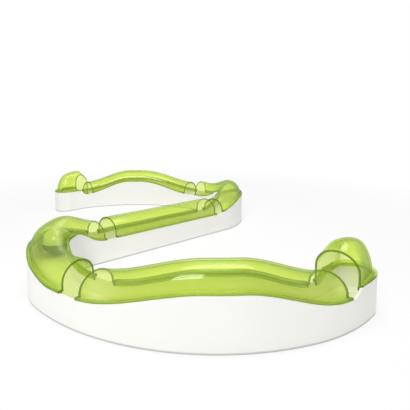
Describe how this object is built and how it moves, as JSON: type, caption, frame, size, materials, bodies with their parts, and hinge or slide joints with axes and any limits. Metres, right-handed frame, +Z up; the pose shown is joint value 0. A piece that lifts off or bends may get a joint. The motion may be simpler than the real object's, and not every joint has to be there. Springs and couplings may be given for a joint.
{
  "type": "cat ball track toy",
  "caption": "Serpentine ball track for cats: linked white wavy trough sections under clear green arched covers, with domed ends and gaps where a paw can reach a ball inside.",
  "frame": {"origin": "middle of the straight run, on the ground under the feet", "axes": "X along the straight middle run, Y across it from the front run to the rear run, Z up"},
  "size_m": [0.414, 0.627, 0.0799],
  "materials": {
    "white_plastic": "smooth moulded plastic, soft gloss",
    "green_clear_plastic": "clear tinted moulded plastic, high gloss",
    "foot_rubber": "matt pale rubber",
    "ball_plastic": "smooth glossy shell"
  },
  "bodies": {
    "track": {"mid_base": "white_plastic", "left_bend_base": "white_plastic", "right_bend_base": "white_plastic", "front_arc_base": "white_plastic", "rear_arc_base": "white_plastic", "front_end_base": "white_plastic", "rear_end_base": "white_plastic", "mid_feet": "foot_rubber", "left_bend_feet": "foot_rubber", "right_bend_feet": "foot_rubber", "front_arc_feet": "foot_rubber", "rear_arc_feet": "foot_rubber", "front_end_feet": "foot_rubber", "rear_end_feet": "foot_rubber"},
    "mid_cover": {"mid_cover": "green_clear_plastic"},
    "left_bend_cover": {"left_bend_cover": "green_clear_plastic"},
    "right_bend_cover": {"right_bend_cover": "green_clear_plastic"},
    "front_arc_cover": {"front_arc_cover": "green_clear_plastic"},
    "rear_arc_cover": {"rear_arc_cover": "green_clear_plastic"},
    "front_end_cover": {"front_end_cover": "green_clear_plastic"},
    "rear_end_cover": {"rear_end_cover": "green_clear_plastic"},
    "ball": {"ball_upper_half": "ball_plastic", "ball_lower_half": "ball_plastic"}
  },
  "joints": [
    {"name": "mid_cover_lift", "type": "slide", "parent": "track", "child": "mid_cover", "axis": [0, 0, 1], "range_m": [0, 0.08]},
    {"name": "left_bend_cover_lift", "type": "slide", "parent": "track", "child": "left_bend_cover", "axis": [0, 0, 1], "range_m": [0, 0.08]},
    {"name": "right_bend_cover_lift", "type": "slide", "parent": "track", "child": "right_bend_cover", "axis": [0, 0, 1], "range_m": [0, 0.08]},
    {"name": "front_arc_cover_lift", "type": "slide", "parent": "track", "child": "front_arc_cover", "axis": [0, 0, 1], "range_m": [0, 0.08]},
    {"name": "rear_arc_cover_lift", "type": "slide", "parent": "track", "child": "rear_arc_cover", "axis": [0, 0, 1], "range_m": [0, 0.08]},
    {"name": "front_end_cover_lift", "type": "slide", "parent": "track", "child": "front_end_cover", "axis": [0, 0, 1], "range_m": [0, 0.08]},
    {"name": "rear_end_cover_lift", "type": "slide", "parent": "track", "child": "rear_end_cover", "axis": [0, 0, 1], "range_m": [0, 0.08]},
    {"name": "ball_roll", "type": "hinge", "parent": "track", "child": "ball", "pos_m": [-0.116, -0.068, 0], "axis": [0, 0, 1], "range_deg": [-8, 18]}
  ]
}
